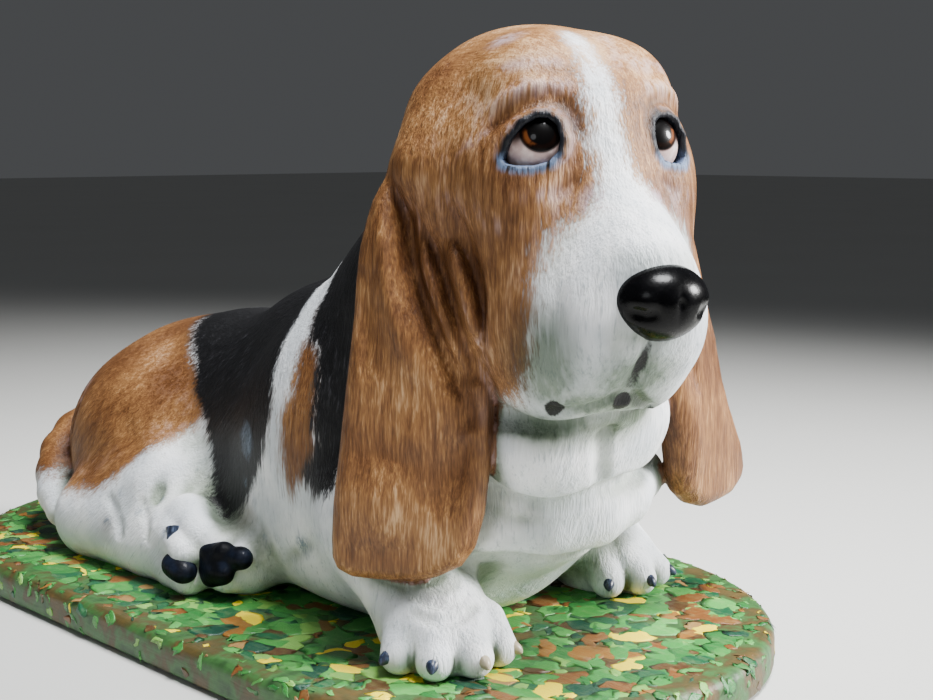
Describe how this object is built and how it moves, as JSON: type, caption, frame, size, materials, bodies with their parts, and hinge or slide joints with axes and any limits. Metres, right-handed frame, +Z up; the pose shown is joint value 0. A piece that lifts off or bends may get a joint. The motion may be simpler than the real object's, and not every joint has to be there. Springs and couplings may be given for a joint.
{
  "type": "painted basset hound figurine on a board",
  "caption": "Painted figurine of a lying basset hound with long ears, head raised and turned to its right, fixed on a flat board with rounded ends.",
  "frame": {"origin": "middle of the board's underside", "axes": "+Z up, the dog's body faces -Y, its right side is at -X"},
  "size_m": [0.17, 0.3238, 0.181],
  "materials": {
    "coat_paint": "hand painted in tan, white and black with fine brush strokes, satin",
    "lacquer": "black gloss lacquer",
    "eye_gloss": "painted brown iris and white under clear gloss",
    "pad_paint": "blue black paint, satin",
    "board_paint": "dabbed leafy pattern in greens, browns and yellow, satin"
  },
  "bodies": {
    "root": {"base_board": "board_paint", "torso": "coat_paint", "hindquarters": "coat_paint", "neck": "coat_paint", "head": "coat_paint", "ear_right": "coat_paint", "ear_left": "coat_paint", "foreleg_right": "coat_paint", "foreleg_left": "coat_paint", "hindleg_right": "coat_paint", "hindpaw_left": "coat_paint", "tail": "coat_paint", "nose": "lacquer", "eye_right": "eye_gloss", "eye_left": "eye_gloss", "pad_right": "pad_paint", "pads_left": "pad_paint"}
  },
  "joints": []
}
